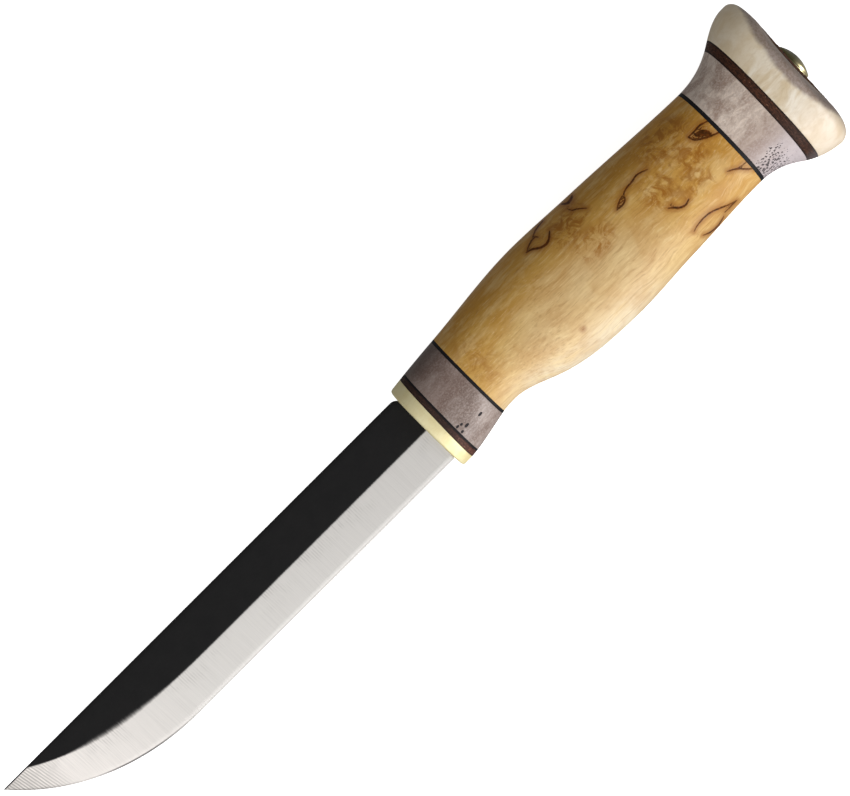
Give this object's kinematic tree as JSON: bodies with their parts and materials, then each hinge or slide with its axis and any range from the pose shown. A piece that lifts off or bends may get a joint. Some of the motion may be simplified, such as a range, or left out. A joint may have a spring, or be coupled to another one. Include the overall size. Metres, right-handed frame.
{
  "type": "fixed-blade craft knife",
  "caption": "Nordic belt knife with a straight-backed blade, a brass plate and a barrel-shaped grip of stacked antler, leather and curly birch with a flared pommel.",
  "frame": {"origin": "centre of the knife's bounding box seen from above, at its lowest point; the knife lies on its side", "axes": "+X from the blade's tip to the pommel, +Y from the cutting edge to the spine, +Z through the thickness"},
  "size_m": [0.2436, 0.04, 0.0264],
  "materials": {
    "blade_steel": "satin",
    "brass": "polished",
    "leather": "matte",
    "black_fibre": "matte",
    "grey_antler": "satin",
    "cream_antler": "satin",
    "curly_birch": "satin",
    "epoxy": "gloss"
  },
  "bodies": {
    "root": {"blade": "blade_steel", "bolster_plate": "brass", "bolster_leather": "leather", "bolster_liner": "black_fibre", "front_antler": "grey_antler", "front_liner": "black_fibre", "birch_grip": "curly_birch", "rear_liner": "black_fibre", "rear_antler": "grey_antler", "rear_leather": "leather", "antler_pommel": "cream_antler", "pommel_washer": "brass", "tang_nut": "brass", "tang_bedding": "epoxy"}
  },
  "joints": []
}
